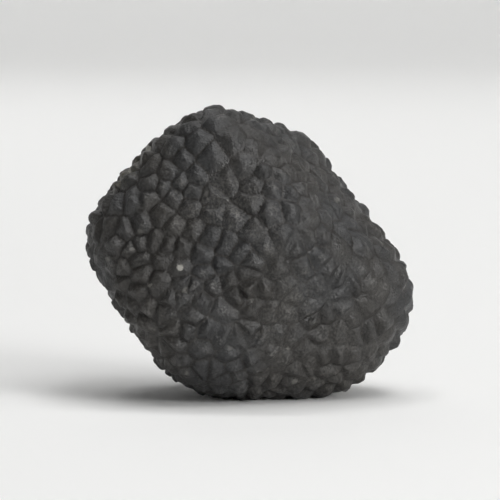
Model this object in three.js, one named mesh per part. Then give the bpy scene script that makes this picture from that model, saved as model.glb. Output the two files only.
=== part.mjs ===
// A whole black truffle, in millimetres, +Z up, standing on Z = 0 with +X to its right and -Y to its front.
// It grew as one piece: a rounded, uneven body, flattened where it lay against stones and roots, and
// covered all over with low many-sided warts. Each wart is a blunt pyramid that stands in its own cell
// of an irregular honeycomb, and the grooves between the warts are the walls of that honeycomb.
import * as THREE from 'three';
import { ConvexHull } from 'three/addons/math/ConvexHull.js';

// The body, from groove to groove: an ellipsoid round its heart, before its sides are flattened.
const roundWidth = 33.0;
const roundDepth = 26.8;
const roundHeight = 33.0;
const heartPlace = [-1.18, -0.03, 12.85];
const cornerHardness = 8; // how sharply one flattened side turns into the next

// The warts.
const wartRoom = 1.8; // from the middle of one wart to the next, at the least, for a middling wart
const wartRoomSpread = 0.4; // either way, as a share
const finestToward = [-0.6, -0.2, -0.77]; // the way that the side with the finest warts faces
const finerShare = 0.22; // how much less room they have there, and how much more on the other side
const wartThrows = 9000; // places tried for a wart; a place is kept where there is room for one
const wartHeight = 0.42; // of a middling wart, from the groove to the edge of its top
const wartHeightSpread = 0.35; // either way, as a share
const topShare = 0.28; // of a wart's width that its blunt top takes
const topShareSpread = 0.3;
const crownHeight = 0.1; // of the middle of a wart's top above the edge of its top

// Flattened sides: the way each one faces, and how far it lies from the heart, in millimetres.
const flattenedSides = [
  { faces: [-0.83, 0.0, -0.56], distance: 11.0 }, // lower left flank
  { faces: [-0.76, 0.1, 0.65], distance: 11.5 }, // upper left shoulder
  { faces: [-0.05, 0.15, 1.0], distance: 12.0 }, // crown, dipping to the back
  { faces: [0.73, -0.15, 0.67], distance: 9.6 }, // long slope of the upper right
  { faces: [0.62, 0.0, -0.78], distance: 14.8 }, // lower right
  { faces: [0.0, 0.0, -1.0], distance: 12.4 }, // underside
  { faces: [-0.25, -0.93, 0.3], distance: 11.9 }, // front, facing up and left
  { faces: [0.45, -0.8, -0.35], distance: 12.3 }, // front, facing down and right
  { faces: [0.35, 0.9, 0.2], distance: 11.7 }, // back
  { faces: [-0.55, 0.75, -0.3], distance: 12.3 }, // back left
];

// Swellings, and hollows where the amount is negative: the way each one faces, how far the body stands
// out there, in millimetres, and how wide it is, as an angle in radians from its middle to its edge.
const swellings = [
  { faces: [0.08, 0.0, -1.0], amount: 0.64, spread: 0.42 }, // the spot that it rests on
  { faces: [0.67, -0.1, -0.74], amount: 1.6, spread: 0.42 },
  { faces: [0.95, -0.3, -0.3], amount: 0.6, spread: 0.45 },
  { faces: [-0.95, -0.2, 0.25], amount: 0.1, spread: 0.42 },
  { faces: [-0.05, -0.4, 0.9], amount: 0.5, spread: 0.4 },
  { faces: [0.25, -0.95, 0.15], amount: 0.6, spread: 0.33 },
  { faces: [-0.45, -0.85, -0.3], amount: 0.6, spread: 0.32 },
  { faces: [0.05, -0.85, 0.55], amount: -0.6, spread: 0.24 },
  { faces: [-0.1, -0.97, -0.22], amount: -0.5, spread: 0.22 },
  { faces: [0.75, -0.6, 0.25], amount: -0.5, spread: 0.26 },
  { faces: [0.55, 0.3, 0.8], amount: 0.8, spread: 0.34 },
  { faces: [0.1, 0.35, 0.93], amount: -0.7, spread: 0.24 },
  { faces: [0.7, 0.7, -0.1], amount: 1.1, spread: 0.38 },
  { faces: [0.15, 0.95, 0.35], amount: -1.2, spread: 0.3 },
  { faces: [-0.5, 0.7, 0.5], amount: 1.1, spread: 0.36 },
  { faces: [-0.85, 0.5, -0.1], amount: -0.8, spread: 0.28 },
  { faces: [-0.25, 0.85, -0.45], amount: 0.9, spread: 0.34 },
  { faces: [0.4, 0.75, -0.55], amount: -0.7, spread: 0.24 },
];

const halfSize = new THREE.Vector3(roundWidth, roundDepth, roundHeight).divideScalar(2);
const heart = new THREE.Vector3(...heartPlace);
const finestSide = new THREE.Vector3(...finestToward).normalize();

const sides = flattenedSides.map(({ faces, distance }) => ({
  toward: new THREE.Vector3(...faces).normalize(),
  distance,
}));
const bumps = swellings.map(({ faces, amount, spread }) => ({
  toward: new THREE.Vector3(...faces).normalize(),
  amount,
  spread,
}));

// A number from 0 to 1 that depends only on the two given.
function chance(index, purpose) {
  const mixed = Math.sin(index * 12.9898 + purpose * 78.233) * 43758.5453;
  return mixed - Math.floor(mixed);
}

// A number from 1 - spread to 1 + spread that depends only on the two given.
function vary(index, purpose, spread) {
  return 1 + spread * (2 * chance(index, purpose) - 1);
}

// How far the body reaches from its heart along a unit direction, in its grooves.
function bodyReach(direction) {
  const roundReach = 1 / direction.clone().divide(halfSize).length();
  let sum = roundReach ** -cornerHardness;
  for (const { toward, distance } of sides) {
    sum += (Math.max(0, toward.dot(direction)) / distance) ** cornerHardness;
  }
  let reach = sum ** (-1 / cornerHardness);
  for (const { toward, amount, spread } of bumps) {
    reach += amount * Math.exp((2 * (toward.dot(direction) - 1)) / spread ** 2);
  }
  return reach;
}

function bodyPoint(direction) {
  return direction.clone().multiplyScalar(bodyReach(direction)).add(heart);
}

// The way the body's surface faces, from two small steps across it.
function bodyNormal(direction) {
  const step = 0.02;
  const side = new THREE.Vector3(-direction.y, direction.x, 0.3).cross(direction).normalize();
  const other = direction.clone().cross(side);
  const middle = bodyPoint(direction);
  const [alongSide, alongOther] = [side, other].map((way) =>
    bodyPoint(direction.clone().addScaledVector(way, step).normalize()).sub(middle)
  );
  return alongSide.cross(alongOther).normalize();
}

// A point that stands a height above the grooves, worn flat where it would reach below the surface.
function rindPoint(direction, height) {
  const point = bodyPoint(direction).addScaledVector(bodyNormal(direction), height);
  point.z = Math.max(0, point.z);
  return point;
}

// One direction for the middle of each wart. Places are thrown at the body one after another, and each
// is kept only if it stands clear of all those kept before it.
function wartSeeds() {
  const seeds = [];
  const places = [];
  for (let i = 0; i < wartThrows; i++) {
    const z = 2 * chance(i, 1) - 1;
    const seed = new THREE.Vector3().setFromSphericalCoords(1, Math.acos(z), 2 * Math.PI * chance(i, 2));
    const place = bodyPoint(seed);
    const room = wartRoom * vary(i, 3, wartRoomSpread) * (1 - finerShare * seed.dot(finestSide));
    if (places.every((other) => other.distanceTo(place) > room)) {
      seeds.push(seed);
      places.push(place);
    }
  }
  return seeds;
}

// The corners of each seed's cell. Three seeds whose hull face looks along a direction are equally near
// to it, so their cells meet there.
function wartCells(seeds) {
  const corners = new Map(seeds.map((seed) => [seed, []]));
  for (const face of new ConvexHull().setFromPoints(seeds).faces) {
    const corner = face.normal.clone().normalize();
    let edge = face.edge;
    do {
      corners.get(edge.head().point).push(corner);
      edge = edge.next;
    } while (edge !== face.edge);
  }
  return [...corners].map(([seed, around]) => {
    const start = around[0].clone().projectOnPlane(seed).normalize();
    const quarter = seed.clone().cross(start);
    const turn = (corner) => Math.atan2(corner.dot(quarter), corner.dot(start));
    return around.sort((a, b) => turn(a) - turn(b));
  });
}

function middleOf(corners) {
  return corners.reduce((sum, corner) => sum.add(corner), new THREE.Vector3()).normalize();
}

// The warts' faces, three points for each triangle, facing out.
function wartTriangles(cells) {
  const points = [];
  cells.forEach((corners, index) => {
    const middle = middleOf(corners);
    const height = wartHeight * vary(index, 5, wartHeightSpread);
    const share = topShare * vary(index, 6, topShareSpread);
    const foot = corners.map((corner) => rindPoint(corner, 0));
    const edge = corners.map((corner) =>
      rindPoint(middle.clone().lerp(corner, share).normalize(), height)
    );
    const crown = rindPoint(middle, height + crownHeight);
    corners.forEach((_, i) => {
      const next = (i + 1) % corners.length;
      points.push(foot[i], foot[next], edge[next]);
      points.push(foot[i], edge[next], edge[i]);
      points.push(edge[i], edge[next], crown);
    });
  });
  return points;
}

const rind = new THREE.MeshStandardMaterial({ color: 0x2b2a29, roughness: 0.62, metalness: 0 });

const geometry = new THREE.BufferGeometry().setFromPoints(wartTriangles(wartCells(wartSeeds())));
geometry.computeVertexNormals();

const truffle = new THREE.Mesh(geometry, rind);
truffle.name = 'truffle';

const group = new THREE.Group();
group.add(truffle);

export default group;
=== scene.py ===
import itertools
import math

import bmesh
import bpy
import numpy as np
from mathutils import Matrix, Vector, kdtree, noise


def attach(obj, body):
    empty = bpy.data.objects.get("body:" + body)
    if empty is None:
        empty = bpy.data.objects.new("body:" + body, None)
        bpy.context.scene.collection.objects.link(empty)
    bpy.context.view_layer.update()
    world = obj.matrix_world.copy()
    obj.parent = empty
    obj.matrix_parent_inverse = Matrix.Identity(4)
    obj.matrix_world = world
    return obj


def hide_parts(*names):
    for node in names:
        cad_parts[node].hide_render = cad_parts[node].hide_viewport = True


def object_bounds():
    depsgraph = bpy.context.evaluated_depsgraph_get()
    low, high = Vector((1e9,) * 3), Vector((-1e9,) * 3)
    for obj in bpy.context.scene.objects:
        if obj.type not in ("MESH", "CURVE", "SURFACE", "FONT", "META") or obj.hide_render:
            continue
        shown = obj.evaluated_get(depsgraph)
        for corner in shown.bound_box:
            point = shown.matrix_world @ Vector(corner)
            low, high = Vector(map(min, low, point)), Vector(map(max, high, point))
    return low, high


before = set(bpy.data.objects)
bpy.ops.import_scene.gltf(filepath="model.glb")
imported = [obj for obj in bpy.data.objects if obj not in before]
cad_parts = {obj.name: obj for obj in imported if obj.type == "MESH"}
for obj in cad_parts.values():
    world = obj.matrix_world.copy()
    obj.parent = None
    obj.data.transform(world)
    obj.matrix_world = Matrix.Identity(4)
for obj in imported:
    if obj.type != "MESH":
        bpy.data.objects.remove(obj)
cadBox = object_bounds()

millimetre = 0.001

# the body from groove to groove, in millimetres, the same as the solid's
truffleForm = {
    "roundSize": (33.0, 26.8, 33.0),  # an ellipsoid round the heart, before its sides are flattened
    "heart": (-1.18, -0.03, 12.85),
    "cornerHardness": 8,  # how sharply one flattened side turns into the next
    # the way each flattened side faces, and how far it lies from the heart
    "flattenedSides": (
        ((-0.83, 0.0, -0.56), 11.0),  # lower left flank
        ((-0.76, 0.1, 0.65), 11.5),  # upper left shoulder
        ((-0.05, 0.15, 1.0), 12.0),  # crown, dipping to the back
        ((0.73, -0.15, 0.67), 9.6),  # long slope of the upper right
        ((0.62, 0.0, -0.78), 14.8),  # lower right
        ((0.0, 0.0, -1.0), 12.4),  # underside
        ((-0.25, -0.93, 0.3), 11.9),  # front, facing up and left
        ((0.45, -0.8, -0.35), 12.3),  # front, facing down and right
        ((0.35, 0.9, 0.2), 11.7),  # back
        ((-0.55, 0.75, -0.3), 12.3),  # back left
    ),
    # the way each swelling faces, how far it stands out (a hollow, where it is less than 0), and its
    # spread in radians
    "swellings": (
        ((0.08, 0.0, -1.0), 0.64, 0.42),  # the spot that it rests on
        ((0.67, -0.1, -0.74), 1.6, 0.42),
        ((0.95, -0.3, -0.3), 0.6, 0.45),
        ((-0.95, -0.2, 0.25), 0.1, 0.42),
        ((-0.05, -0.4, 0.9), 0.5, 0.4),
        ((0.25, -0.95, 0.15), 0.6, 0.33),
        ((-0.45, -0.85, -0.3), 0.6, 0.32),
        ((0.05, -0.85, 0.55), -0.6, 0.24),
        ((-0.1, -0.97, -0.22), -0.5, 0.22),
        ((0.75, -0.6, 0.25), -0.5, 0.26),
        ((0.55, 0.3, 0.8), 0.8, 0.34),
        ((0.1, 0.35, 0.93), -0.7, 0.24),
        ((0.7, 0.7, -0.1), 1.1, 0.38),
        ((0.15, 0.95, 0.35), -1.2, 0.3),
        ((-0.5, 0.7, 0.5), 1.1, 0.36),
        ((-0.85, 0.5, -0.1), -0.8, 0.28),
        ((-0.25, 0.85, -0.45), 0.9, 0.34),
        ((0.4, 0.75, -0.55), -0.7, 0.24),
    ),
}

heart = np.array(truffleForm["heart"])
halfSize = np.array(truffleForm["roundSize"]) / 2


def unit(rows):
    return rows / np.linalg.norm(rows, axis=-1, keepdims=True)


def smooth(low, high, value):  # 0 below low, 1 above high, and an S between them
    t = np.clip((value - low) / (high - low), 0, 1)
    return t * t * (3 - 2 * t)


def bodyReach(directions):  # from the heart to the bottom of the grooves
    hardness = truffleForm["cornerHardness"]
    total = np.linalg.norm(directions / halfSize, axis=1) ** hardness
    for faces, distance in truffleForm["flattenedSides"]:
        total += (np.maximum(0, directions @ unit(np.array(faces))) / distance) ** hardness
    reach = total ** (-1 / hardness)
    for faces, amount, spread in truffleForm["swellings"]:
        reach += amount * np.exp(2 * (directions @ unit(np.array(faces)) - 1) / spread**2)
    return reach


def bodyPoint(directions):
    return directions * bodyReach(directions)[:, None] + heart


def bodyNormal(directions):  # from two small steps across the body
    step = 0.02
    lean = 0.3  # of the first step, as in the solid
    side = np.stack([-directions[:, 1], directions[:, 0], np.full(len(directions), lean)], axis=1)
    side = unit(np.cross(side, directions))
    other = np.cross(directions, side)
    middle = bodyPoint(directions)
    alongSide = bodyPoint(unit(directions + side * step)) - middle
    alongOther = bodyPoint(unit(directions + other * step)) - middle
    return unit(np.cross(alongSide, alongOther))


# in millimetres, apart from shares; up to topShareSpread, and crown, the same as the solid's
warts = {
    "room": 1.8,  # from the middle of one wart to the next, at the least, for a middling wart
    "roomSpread": 0.4,  # either way, as a share
    "finestToward": (-0.6, -0.2, -0.77),  # the way that the side with the finest warts faces
    "finerShare": 0.22,  # how much less room they have there, and how much more on the other side
    "throws": 9000,  # places tried for a wart
    "height": 0.42,  # from the groove to the edge of a wart's top
    "heightSpread": 0.35,
    "topShare": 0.28,  # of a wart's width that its blunt top takes
    "topShareSpread": 0.3,
    "steepest": 0.9,  # rise of a wart's side over its run: narrow warts are lower
    "sideHollow": 1.1,  # more than 1: its sides are hollow, and less than 1: they swell
    "sideSpread": 0.35,  # how unlike each other the sides of one wart slope, as a share
    "cornerRounding": 0.04,
    "crown": 0.1,  # how far the tops stand up in their middles
    "crownSpread": 0.12,  # either way: where it comes out below 0, the top is dished
    "crownStart": 0.3,  # how far in from the groove it begins, as a share
    "neighbours": 8,  # the nearest warts to each point, its own among them
    "sharers": 4,  # the ones of these that can share a groove
    "shareReach": 0.15,  # how far from a groove its warts still share it
    "filledLength": 3.4,  # of the stretches where the grooves are shallow or deep
    "filledNoise": (0.0, 0.45),  # where the noise lies between these, they turn from deep to shallow
    "filledDepth": 0.55,  # of a groove that is filled, at the most
    "filledLevel": 0.8,  # how high it can be filled, as a share of the lower wart's height
    "lowerPower": 4,  # how much the lower of two warts has the say in that
    "rubbedToward": (0.3, -0.93, -0.2),  # the way that a side faces whose grooves are shallower
    "rubbedSpread": 0.5,  # as an angle in radians
    "rubbed": 0.3,  # what the noise gains there
    "fusedPairs": 0.2,  # the share of neighbours that have partly grown together
    "fusedEdge": (-0.15, 0.3),  # round the chance that this share sets, from apart to fully grown
    "fusedDepth": 0.45,  # of the groove between them that is filled, at the most
    "wobble": 0.15,  # how far the grooves wander from straight
    "wobbleLength": 1.5,
    "wobbleSeed": 7,  # not 0, which would draw them anew in every run
    "flutes": 0.08,  # small hollows and ribs down a wart's sides
    "flutesPerTurn": 1.5,
    "fluteStart": (0, 0.25),  # how far in from the groove they set in, as shares
    "fluteEnd": (0.5, 0.9),  # and how far in they fade
    "unfluted": 0.4,  # round its middle
    "fluteApart": 90,  # sets one wart's flutes apart from the next one's
    "lumps": 0.09,
    "lumpLength": 1.0,
    "granules": 0.05,
    "granuleLength": 0.38,
    "cutsPerSide": 6,  # of the mesh, across each side of a wart
    "closest": 0.001,  # its points that are nearer to each other than this, in radians, are joined
    "shadeReach": 0.14,  # how far from a groove its painted shade reaches: a darker colour, with the brown tint that the grooves have
    "shadeLost": 0.8,  # the share of this painted shade that a filled groove loses
    "sideStart": 0.2,  # how far in the streaks of the sides begin to fade, as a share
}

# what each draw is for, so that no two things are drawn alike; the solid has the first five
draws = {
    "throwHeight": 1,
    "throwTurn": 2,
    "room": 3,
    "height": 5,
    "topShare": 6,
    "crown": 7,
    "wartNumber": 8,
    "side": 9,
    "fused": 10,
}
scramble = {"index": 12.9898, "draw": 78.233, "stretch": 43758.5453}  # the same as the solid's
sidePair = 31  # these two make one number of a pair of warts
fusedPair = 37


def chance(index, draw):  # a number from 0 to 1 that depends only on the two given
    mixed = np.sin(index * scramble["index"] + draw * scramble["draw"]) * scramble["stretch"]
    return mixed - np.floor(mixed)


def vary(index, draw, spread):  # a number from 1 - spread to 1 + spread
    return 1 + spread * (2 * chance(index, draw) - 1)


def wartSeeds():
    # places are thrown at the body, and each is kept if it stands clear of all those kept before it
    number = np.arange(warts["throws"], dtype=float)
    z = 2 * chance(number, draws["throwHeight"]) - 1
    turn = 2 * np.pi * chance(number, draws["throwTurn"])
    across = np.sqrt(1 - z * z)
    directions = np.stack([across * np.sin(turn), z, across * np.cos(turn)], axis=1)
    places = bodyPoint(directions)
    room = warts["room"] * vary(number, draws["room"], warts["roomSpread"])
    room *= 1 - warts["finerShare"] * (directions @ unit(np.array(warts["finestToward"])))
    kept = []
    for i, place in enumerate(places):
        if not kept or np.linalg.norm(places[kept] - place, axis=1).min() > room[i]:
            kept.append(i)
    return directions[kept]


def equallyNear(corner):
    # the direction that the three seeds round a poked face are equally near to
    a, b, c = (edge.other_vert(corner).co for edge in corner.link_edges)
    facing = (b - a).cross(c - a).normalized()
    return facing if facing.dot(a) > 0 else -facing


def wartNet(seeds):
    # the hull of the seeds has a face where three warts meet: poked there, and with the hull's edges
    # turned to join those corners, every wart is a fan of triangles round its own seed
    net = bmesh.new()
    for seed in seeds:
        bmesh.ops.create_vert(net, co=seed)
    bmesh.ops.convex_hull(net, input=net.verts)
    hullEdges = list(net.edges)
    corners = bmesh.ops.poke(net, faces=net.faces)["verts"]
    places = [equallyNear(corner) for corner in corners]
    bmesh.ops.rotate_edges(net, edges=hullEdges)
    for corner, place in zip(corners, places):
        corner.co = place
    bmesh.ops.subdivide_edges(net, edges=net.edges, cuts=warts["cutsPerSide"], use_grid_fill=True)
    bmesh.ops.remove_doubles(net, verts=net.verts, dist=warts["closest"])
    bmesh.ops.recalc_face_normals(net, faces=net.faces)
    return net


def nearestSeeds(seeds, directions, count):
    tree = kdtree.KDTree(len(seeds))
    for i, seed in enumerate(seeds):
        tree.insert(seed, i)
    tree.balance()
    found = [[index for _, index, _ in tree.find_n(direction, count)] for direction in directions]
    return np.array(found)


def distanceFromGroove(seeds, directions, near, reach):
    # a groove runs midway between two seeds; the smooth least of the distances to all of them
    # rounds the warts' corners
    away = np.linalg.norm(seeds[near] - directions[:, None], axis=2)
    between = np.linalg.norm(seeds[near[:, 1:]] - seeds[near[:, :1]], axis=2)
    toGroove = (away[:, 1:] ** 2 - away[:, :1] ** 2) / (2 * between) * reach[:, None]
    toGroove *= vary(near[:, :1] * sidePair + near[:, 1:], draws["side"], warts["sideSpread"])
    rounding = warts["cornerRounding"]
    return -rounding * np.log(np.exp(-toGroove / rounding).sum(axis=1))


def sharedBy(seeds, directions, sharers, reach):
    # how much of each place belongs to each of its nearest warts: away from the grooves only one has
    # any
    away = np.linalg.norm(seeds[sharers] - directions[:, None], axis=2) * reach[:, None]
    return np.exp((away[:, :1] - away) / warts["shareReach"])


def grownTogether(sharers, weight):
    # every pair of neighbours has its own chance, and the pairs blend where several warts meet
    total = np.zeros(len(sharers))
    share = np.zeros(len(sharers))
    for i, j in itertools.combinations(range(warts["sharers"]), 2):
        lower = np.minimum(sharers[:, i], sharers[:, j])
        upper = np.maximum(sharers[:, i], sharers[:, j])
        both = weight[:, i] * weight[:, j]
        total += both
        share += both * chance(lower * fusedPair + upper, draws["fused"])
    apart, grown = (1 - warts["fusedPairs"] + edge for edge in warts["fusedEdge"])
    return smooth(apart, grown, share / total) * warts["fusedDepth"]


def filledShare(points, directions, sharers, weight):
    # how much of a groove is filled: in stretches, more on the rubbed side, and between warts that
    # have grown together
    facing = directions @ unit(np.array(warts["rubbedToward"]))
    rubbed = warts["rubbed"] * np.exp(2 * (facing - 1) / warts["rubbedSpread"] ** 2)
    stretches = fieldOf(points, warts["filledLength"]) + rubbed
    filled = smooth(*warts["filledNoise"], stretches) * warts["filledDepth"]
    return 1 - (1 - filled) * (1 - grownTogether(sharers, weight))


def fieldOf(points, wavelength, kind=noise.noise):
    return np.array([kind(Vector(point / wavelength)) for point in points])


def acrossWarts(seeds, directions, owner, reach):
    # two offsets from the middle of the wart, in millimetres, and the wart's own number from 0 to 1
    up = (0.31, 0.17, 0.93)  # no wart's middle lies along it
    east = unit(np.cross(up, seeds))[owner]
    north = np.cross(seeds[owner], east)
    offset = (directions - seeds[owner]) * reach[:, None]
    number = chance(owner, draws["wartNumber"])
    return np.stack([(offset * east).sum(axis=1), (offset * north).sum(axis=1), number], axis=1)


def pyramids(halfWidth, inward, owner, sharers, weight, filled):
    # how far the warts stand above the body, before their fine relief
    number = np.arange(len(halfWidth))
    share = warts["topShare"] * vary(number, draws["topShare"], warts["topShareSpread"])
    height = warts["height"] * vary(number, draws["height"], warts["heightSpread"])
    height = np.minimum(height, warts["steepest"] * halfWidth * (1 - share))
    side = np.minimum(inward / (1 - share[owner]), 1)
    rise = height[owner] * side ** warts["sideHollow"]
    power = -warts["lowerPower"]
    lower = ((weight * height[sharers] ** power).sum(axis=1) / weight.sum(axis=1)) ** (1 / power)
    rise += np.maximum(lower * warts["filledLevel"] - rise, 0) * filled
    crown = warts["crown"] + warts["crownSpread"] * (2 * chance(owner, draws["crown"]) - 1)
    rise += crown * smooth(warts["crownStart"], 1, inward)
    return rise


def fluting(within, inward):
    depth = smooth(*warts["fluteStart"], inward) * (1 - smooth(*warts["fluteEnd"], inward))
    depth *= smooth(0, warts["unfluted"], np.linalg.norm(within[:, :2], axis=1))
    around = unit(within[:, :2] + 1e-9) * warts["flutesPerTurn"]  # the middle has a direction too
    apart = within[:, 2] * warts["fluteApart"]
    return warts["flutes"] * depth * fieldOf(np.column_stack([around, apart]), 1)


def buildTruffle():
    seeds = wartSeeds()
    net = wartNet(seeds)
    directions = unit(np.array([vert.co for vert in net.verts]))
    near = nearestSeeds(seeds, directions, warts["neighbours"])
    reach = bodyReach(directions)
    points = bodyPoint(directions)
    print(f"truffle: {len(seeds)} warts, {len(net.verts)} points")

    fromGroove = distanceFromGroove(seeds, directions, near, reach)
    owner = near[:, 0]
    halfWidth = np.zeros(len(seeds))
    np.maximum.at(halfWidth, owner, fromGroove)
    inward = np.clip(fromGroove / halfWidth[owner], 0, 1)  # 0 in the groove, 1 in the wart's middle
    sharers = near[:, : warts["sharers"]]
    weight = sharedBy(seeds, directions, sharers, reach)
    filled = filledShare(points, directions, sharers, weight)

    rise = pyramids(halfWidth, inward, owner, sharers, weight, filled)
    rise += fluting(acrossWarts(seeds, directions, owner, reach), inward)
    rise += warts["lumps"] * fieldOf(points, warts["lumpLength"])
    rise += warts["granules"] * fieldOf(points, warts["granuleLength"])
    noise.seed_set(warts["wobbleSeed"])
    push = fieldOf(points, warts["wobbleLength"], noise.noise_vector) * warts["wobble"]
    bent = unit(directions + push / reach[:, None])
    placed = bodyPoint(bent) + bodyNormal(bent) * rise[:, None]
    placed[:, 2] = np.maximum(placed[:, 2], 0)  # worn flat where it rests
    for vert, place in zip(net.verts, placed * millimetre):
        vert.co = place

    piece = pieceFrom(net, "blackTruffle")
    # painted shade in the grooves, with a real brown tint: strongest at the bottom of a groove, fading
    # within shadeReach of it, and mostly gone where a groove is filled
    shade = np.exp(-np.maximum(fromGroove, 0) / warts["shadeReach"]) * (1 - warts["shadeLost"] * filled)
    addAttribute(piece.data, "grooveShadeAndTintMask", shade)
    addAttribute(piece.data, "flank", 1 - smooth(warts["sideStart"], 1, inward))
    addWartMap(piece.data, seeds, directions)
    piece.data.materials.append(rindMaterial())
    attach(piece, "root")
    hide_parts("truffle")
    print(f"truffle: {len(piece.data.polygons)} faces")


def pieceFrom(net, name):
    for face in net.faces:
        face.smooth = True
    mesh = bpy.data.meshes.new(name)
    net.to_mesh(mesh)
    net.free()
    piece = bpy.data.objects.new(name, mesh)
    bpy.context.scene.collection.objects.link(piece)
    return piece


def addAttribute(mesh, name, values):
    mesh.attributes.new(name, "FLOAT", "POINT").data.foreach_set("value", values.astype(np.float32))


def addWartMap(mesh, seeds, directions):
    # kept at the corners of faces, because two warts that meet in a groove share its points
    corners = np.array([list(face.vertices) for face in mesh.polygons])
    middles = unit(directions[corners].mean(axis=1))
    owner = np.repeat(nearestSeeds(seeds, middles, 1)[:, 0], corners.shape[1])
    directions = directions[corners.ravel()]
    within = acrossWarts(seeds, directions, owner, bodyReach(directions))
    wartMap = mesh.attributes.new("wartMap", "FLOAT_VECTOR", "CORNER")
    wartMap.data.foreach_set("vector", within.astype(np.float32).ravel())


# lengths, heights and places in millimetres; a pair of limits is where a colour sets in and where it
# is full, and a name with Grain in it breaks that colour up with the finest noise
rindLook = {
    "fineLength": 0.22,  # of the finest noise
    "coal": (0.0265, 0.0268, 0.0275),
    "umber": (0.030, 0.0278, 0.025),
    "umberLength": 6.0,
    "umberLimits": (0.35, 0.65),
    "tips": (0.08, 0.078, 0.074),  # the worn middles of the warts
    "tipRadius": (0.05, 0.6),  # full within the first, gone beyond the second
    "tipGrain": (0.4, 0.7),
    "tipWarts": (0.45, 0.9),  # of the warts' own numbers: those below the first aren't worn
    "dust": (0.064, 0.0605, 0.055),
    "dustLength": 9.0,
    "dustLimits": (0.5, 0.75),
    "dustGrain": (0.35, 0.7),
    "olive": (0.075, 0.067, 0.045),  # of one stained patch
    "oliveMiddle": (-10.6, -4.5, 19.8),
    "oliveRadius": (0.5, 3.2),
    "oliveStrength": 0.8,
    "oliveGrain": (0.3, 0.6),
    # painted shade in the grooves: darker than coal, with the brown tint that the rind has there
    "grooveShadeAndTint": (0.021, 0.019, 0.017),
    "grooveShadeLimits": (0.2, 1.0),
    "wartTone": (0.88, 1.12),  # from the darkest wart to the palest
    "fineTone": (0.7, 1.3),  # and within each
    "toneGrain": (0.3, 0.7),
    "flecks": (0.34, 0.33, 0.30),
    "raggedLength": 0.3,  # of the noise that makes their edges ragged
    "ragged": 0.5,
    # where the pale flecks of the front lie, the radius of each, and how pale it is from 0 to 1
    "fleckPlaces": (
        ((-6.05, -11.8, 12.3), 0.28, 0.9),
        ((-8.65, -11.2, 10.7), 0.2, 0.4),
        ((-10.2, -9.8, 13.7), 0.2, 0.25),
        ((-12.4, -8.5, 12.7), 0.3, 0.25),
        ((-9.0, -3.8, 22.0), 0.38, 0.8),
        ((-10.6, -5.4, 20.3), 0.25, 0.7),
        ((0.15, -11.7, 9.3), 0.1, 0.35),
        ((3.3, -8.8, 5.0), 0.2, 0.35),
    ),
    "fleckReach": (1, 0.3, 1),  # less than 1 along Y, so that each reaches the rind of the front
    "fleckEdge": (0.15, 0.3),  # past its radius, from full to gone
    "speckRoom": 1.9,  # of the faint specks that lie all over
    "speckShare": 0.16,  # of the places with room for one that have one
    "speckRadius": 0.24,
    "speckEdge": (0.15, 0.4),
    "speckPaleness": 0.22,
    "glossLength": 1.4,  # of the shinier and duller patches
    "glossLimits": (0.3, 0.7),
    "roughness": (0.36, 0.6),
    "specular": 0.45,
    "streaksPerTurn": 4.5,  # round the middle of a wart
    "streakApart": 17.0,  # sets one wart's streaks apart from the next one's
    "streakRadius": (0.1, 0.5),
    "streakHeight": 0.06,
    "pebbleLength": 0.2,
    "pebbleHeight": 0.05,
    "grainLength": 0.1,
    "grainHeight": 0.03,
}


class Nodes:  # short ways to add and join the nodes of one material
    def __init__(self, name):
        self.material = bpy.data.materials.new(name)
        self.material.use_nodes = True
        self.tree = self.material.node_tree
        self.shader = self.tree.nodes["Principled BSDF"]

    def add(self, kind, inputs=(), **settings):
        node = self.tree.nodes.new(kind)
        for name, value in settings.items():
            setattr(node, name, value)
        for name, value in dict(inputs).items():
            self.set(node.inputs[name], value)
        return node

    def set(self, socket, value):
        if isinstance(value, bpy.types.NodeSocket):
            self.tree.links.new(value, socket)
        else:
            socket.default_value = value

    def math(self, operation, *values):
        node = self.add("ShaderNodeMath", operation=operation)
        for socket, value in zip(node.inputs, values):
            self.set(socket, value)
        return node.outputs[0]

    def vector(self, operation, value, other=(0, 0, 0)):
        return self.add("ShaderNodeVectorMath", {0: value, 1: other}, operation=operation)

    def between(self, value, limits, results=(0, 1)):  # an S from the first result to the second
        inputs = {"Value": value, "From Min": limits[0], "From Max": limits[1]}
        inputs.update({"To Min": results[0], "To Max": results[1]})
        return self.add("ShaderNodeMapRange", inputs, interpolation_type="SMOOTHSTEP").outputs["Result"]

    def noise(self, where, wavelength, detail=2):
        inputs = {"Vector": where, "Scale": 1 / wavelength, "Detail": detail}
        return self.add("ShaderNodeTexNoise", inputs).outputs["Fac"]

    def blend(self, factor, first, second):
        node = self.add("ShaderNodeMix", data_type="RGBA")
        self.set(node.inputs["Factor"], factor)
        self.set(node.inputs["A"], first)
        self.set(node.inputs["B"], second)
        return node.outputs["Result"]


def wartStreaks(rind, wartMap):
    # streaks that run down the sides of each wart from its middle, and how far each place is from it
    number = rind.add("ShaderNodeSeparateXYZ", {"Vector": wartMap}).outputs["Z"]
    offset = rind.vector("MULTIPLY", wartMap, (1, 1, 0)).outputs["Vector"]
    away = rind.vector("LENGTH", offset).outputs["Value"]
    around = rind.vector("NORMALIZE", offset).outputs["Vector"]
    apart = rind.math("MULTIPLY", number, rindLook["streakApart"])
    apart = rind.add("ShaderNodeCombineXYZ", {"Z": apart}).outputs["Vector"]
    around = rind.vector("ADD", around, apart).outputs["Vector"]
    streaks = rind.noise(around, 1 / rindLook["streaksPerTurn"])
    return number, away, rind.math("MULTIPLY", streaks, rind.between(away, rindLook["streakRadius"]))


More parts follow.
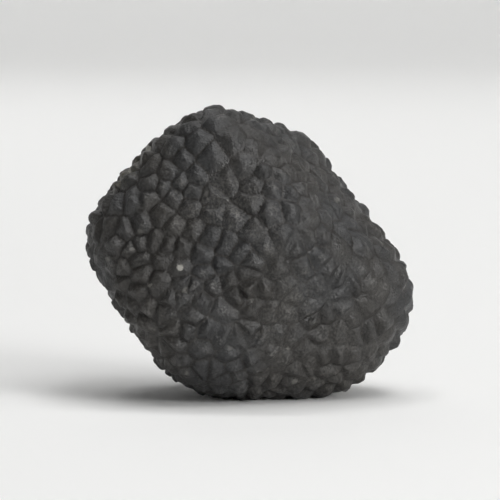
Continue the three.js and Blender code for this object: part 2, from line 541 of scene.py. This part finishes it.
def rindColour(rind, where, grooveShadeAndTintMask, number, away):
    coal, umber, grooveShadeAndTint, tips, dust, flecks, olive = (
        (*rindLook[name], 1) for name in ("coal", "umber", "grooveShadeAndTint", "tips", "dust", "flecks", "olive")
    )
    fine = rind.noise(where, rindLook["fineLength"], detail=3)
    patches = rind.noise(where, rindLook["umberLength"], detail=3)
    colour = rind.blend(rind.between(patches, rindLook["umberLimits"]), coal, umber)

    worn = rind.between(away, rindLook["tipRadius"], (1, 0))
    worn = rind.math("MULTIPLY", worn, rind.between(fine, rindLook["tipGrain"]))
    worn = rind.math("MULTIPLY", worn, rind.between(number, rindLook["tipWarts"]))
    colour = rind.blend(worn, colour, tips)

    dusty = rind.between(rind.noise(where, rindLook["dustLength"], detail=4), rindLook["dustLimits"])
    dusty = rind.math("MULTIPLY", dusty, rind.between(fine, rindLook["dustGrain"]))
    colour = rind.blend(dusty, colour, dust)

    stained = rind.vector("DISTANCE", where, rindLook["oliveMiddle"]).outputs["Value"]
    stained = rind.between(stained, rindLook["oliveRadius"], (rindLook["oliveStrength"], 0))
    stained = rind.math("MULTIPLY", stained, rind.between(fine, rindLook["oliveGrain"]))
    colour = rind.blend(stained, colour, olive)

    # painted shade towards the bottom of the grooves, darker and browner than the rind round it
    colour = rind.blend(rind.between(grooveShadeAndTintMask, rindLook["grooveShadeLimits"]), colour, grooveShadeAndTint)
    tone = rind.between(number, (0, 1), rindLook["wartTone"])
    tone = rind.math("MULTIPLY", tone, rind.between(fine, rindLook["toneGrain"], rindLook["fineTone"]))
    colour = rind.add("ShaderNodeHueSaturation", {"Value": tone, "Color": colour}).outputs["Color"]

    ragged = rind.math("MULTIPLY", rind.noise(where, rindLook["raggedLength"]), rindLook["ragged"])
    for place, radius, paleness in rindLook["fleckPlaces"]:
        offset = rind.vector("SUBTRACT", where, place).outputs["Vector"]
        offset = rind.vector("MULTIPLY", offset, rindLook["fleckReach"]).outputs["Vector"]
        away = rind.math("ADD", rind.vector("LENGTH", offset).outputs["Value"], ragged)
        edge = [radius + past for past in rindLook["fleckEdge"]]
        colour = rind.blend(rind.between(away, edge, (paleness, 0)), colour, flecks)
    return rind.blend(rindSpecks(rind, where, ragged), colour, flecks)


def rindSpecks(rind, where, ragged):
    room = rindLook["speckRoom"]
    cells = rind.add("ShaderNodeTexVoronoi", {"Vector": where, "Scale": 1 / room})
    away = rind.math("ADD", rind.math("MULTIPLY", cells.outputs["Distance"], room), ragged)
    drawn = rind.add("ShaderNodeSeparateColor", {"Color": cells.outputs["Color"]}).outputs["Red"]
    drawn = rind.math("LESS_THAN", drawn, rindLook["speckShare"])
    edge = [rindLook["speckRadius"] + past for past in rindLook["speckEdge"]]
    return rind.math("MULTIPLY", drawn, rind.between(away, edge, (rindLook["speckPaleness"], 0)))


def rindMaterial():
    rind = Nodes("rind")
    where = rind.add("ShaderNodeTexCoord").outputs["Object"]
    where = rind.vector("DIVIDE", where, [millimetre] * 3).outputs["Vector"]
    # the mask of the painted shade and brown tint in the grooves
    grooveShadeAndTintMask = rind.add("ShaderNodeAttribute", attribute_name="grooveShadeAndTintMask").outputs["Fac"]
    flank = rind.add("ShaderNodeAttribute", attribute_name="flank").outputs["Fac"]
    wartMap = rind.add("ShaderNodeAttribute", attribute_name="wartMap").outputs["Vector"]
    number, away, streaks = wartStreaks(rind, wartMap)
    rind.set(rind.shader.inputs["Base Color"], rindColour(rind, where, grooveShadeAndTintMask, number, away))

    gloss = rind.noise(where, rindLook["glossLength"], detail=4)
    gloss = rind.between(gloss, rindLook["glossLimits"], rindLook["roughness"])
    rind.set(rind.shader.inputs["Roughness"], gloss)
    rind.shader.inputs["Specular IOR Level"].default_value = rindLook["specular"]

    pebbles = rind.add("ShaderNodeTexVoronoi", {"Vector": where, "Scale": 1 / rindLook["pebbleLength"]})
    pebbles = rind.math("MULTIPLY", pebbles.outputs["Distance"], -rindLook["pebbleHeight"])
    grain = rind.math("MULTIPLY", rind.noise(where, rindLook["grainLength"]), rindLook["grainHeight"])
    fluted = rind.math("MULTIPLY", streaks, rind.math("MULTIPLY", flank, rindLook["streakHeight"]))
    relief = rind.math("ADD", rind.math("ADD", grain, pebbles), fluted)
    bump = rind.add("ShaderNodeBump", {"Height": relief, "Distance": millimetre, "Strength": 1})
    rind.set(rind.shader.inputs["Normal"], bump.outputs["Normal"])
    print("material: rind")
    return rind.material


# a round floor that sweeps up into a wall, pale all over, and the room round it
studio = {
    "floorRadius": 0.7,
    "sweepRadius": 0.5,
    "sweepSteps": 12,
    "roundSteps": 64,
    "closest": 1e-5,  # points nearer to each other than this are joined
    "floorColour": (0.9, 0.9, 0.89),
    "floorRoughness": 0.9,
    "worldColour": (1, 1, 1),
    "worldStrength": 0.025,
}


def buildFloor():
    stage = bmesh.new()
    bmesh.ops.create_vert(stage, co=(0, 0, 0))
    edge = bmesh.ops.create_vert(stage, co=(studio["floorRadius"], 0, 0))["vert"]
    stage.edges.new(stage.verts)
    bmesh.ops.spin(
        stage, geom=edge, cent=(studio["floorRadius"], 0, studio["sweepRadius"]),
        axis=(0, -1, 0), angle=math.pi / 2, steps=studio["sweepSteps"],
    )
    bmesh.ops.spin(
        stage, geom=[*stage.verts, *stage.edges], cent=(0, 0, 0), axis=(0, 0, 1),
        angle=2 * math.pi, steps=studio["roundSteps"], use_merge=True,
    )
    bmesh.ops.remove_doubles(stage, verts=stage.verts, dist=studio["closest"])
    bmesh.ops.recalc_face_normals(stage, faces=stage.faces)
    floor = pieceFrom(stage, "studioFloor")
    paper = Nodes("palePaper")
    paper.shader.inputs["Base Color"].default_value = (*studio["floorColour"], 1)
    paper.shader.inputs["Roughness"].default_value = studio["floorRoughness"]
    floor.data.materials.append(paper.material)
    print("floor: built")


lamps = {
    # place, what it is aimed at, size and power in watts
    "key": ((0.44, -0.48, 0.22), (0, 0, 0.013), 0.3, 2.7),
    "upperFront": ((0.2, -0.3, 0.55), (0, 0, 0.013), 0.35, 0.9),
    "overhead": ((0.25, -0.05, 0.55), (0, 0, 0.013), 0.4, 0.55),
    "back": ((-0.1, 0.5, 0.35), (0, 0, 0.013), 0.4, 0.3),
}

wallLamps = {
    # they stand in a ring above the truffle, each aimed out at the wall
    "powers": (6.2, 2.6, 1.2, 2.0),  # at the back, right, front and left
    "ringRadius": 0.3,
    "height": 1.0,
    "aimRadius": 1.2,
    "aimHeight": 0.35,
    "size": 0.6,
}


def addLamp(name, place, aim, size, power):
    light = bpy.data.lights.new(name, "AREA")
    light.shape = "DISK"
    light.size = size
    light.energy = power
    lamp = bpy.data.objects.new(name, light)
    lamp.location = place
    lamp.rotation_mode = "QUATERNION"
    lamp.rotation_quaternion = (Vector(aim) - Vector(place)).to_track_quat("-Z", "Y")
    bpy.context.scene.collection.objects.link(lamp)


def buildLamps():
    for name, (place, aim, size, power) in lamps.items():
        addLamp(name, place, aim, size, power)
    for i, power in enumerate(wallLamps["powers"]):
        turn = 2 * math.pi * i / len(wallLamps["powers"])
        outward = Vector((math.sin(turn), math.cos(turn), 0))
        place = outward * wallLamps["ringRadius"] + Vector((0, 0, wallLamps["height"]))
        aim = outward * wallLamps["aimRadius"] + Vector((0, 0, wallLamps["aimHeight"]))
        addLamp(f"wall{i}", place, aim, wallLamps["size"], power)
    world = bpy.data.worlds.new("softRoom")
    world.use_nodes = True
    background = world.node_tree.nodes["Background"]
    background.inputs["Color"].default_value = (*studio["worldColour"], 1)
    background.inputs["Strength"].default_value = studio["worldStrength"]
    bpy.context.scene.world = world
    bpy.context.scene.view_settings.view_transform = "Standard"
    print(f"lamps: {len(bpy.data.lights)}")


view = {
    "elevation": 4.5,  # degrees above the horizon
    "distance": 0.45,
    "fill": 0.66,  # of the picture's width that the truffle takes
    "sensor": 36.0,  # its width in millimetres
    "clip": (0.01, 10),  # the nearest and the farthest that the camera sees
}


def buildCamera(target, width):
    camera = bpy.data.objects.new("camera", bpy.data.cameras.new("camera"))
    tilt = math.radians(view["elevation"])
    back = Vector((0, -math.cos(tilt), math.sin(tilt)))
    camera.location = target + back * view["distance"]
    camera.rotation_mode = "QUATERNION"
    camera.rotation_quaternion = (-back).to_track_quat("-Z", "Y")
    camera.data.sensor_width = view["sensor"]
    camera.data.lens = view["sensor"] * view["distance"] * view["fill"] / width
    camera.data.clip_start, camera.data.clip_end = view["clip"]
    bpy.context.scene.collection.objects.link(camera)
    bpy.context.scene.camera = camera
    print(f"camera: {camera.data.lens:.0f} mm lens")


lowest, highest = cadBox
buildTruffle()
buildFloor()
buildLamps()
buildCamera((lowest + highest) / 2, highest.x - lowest.x)
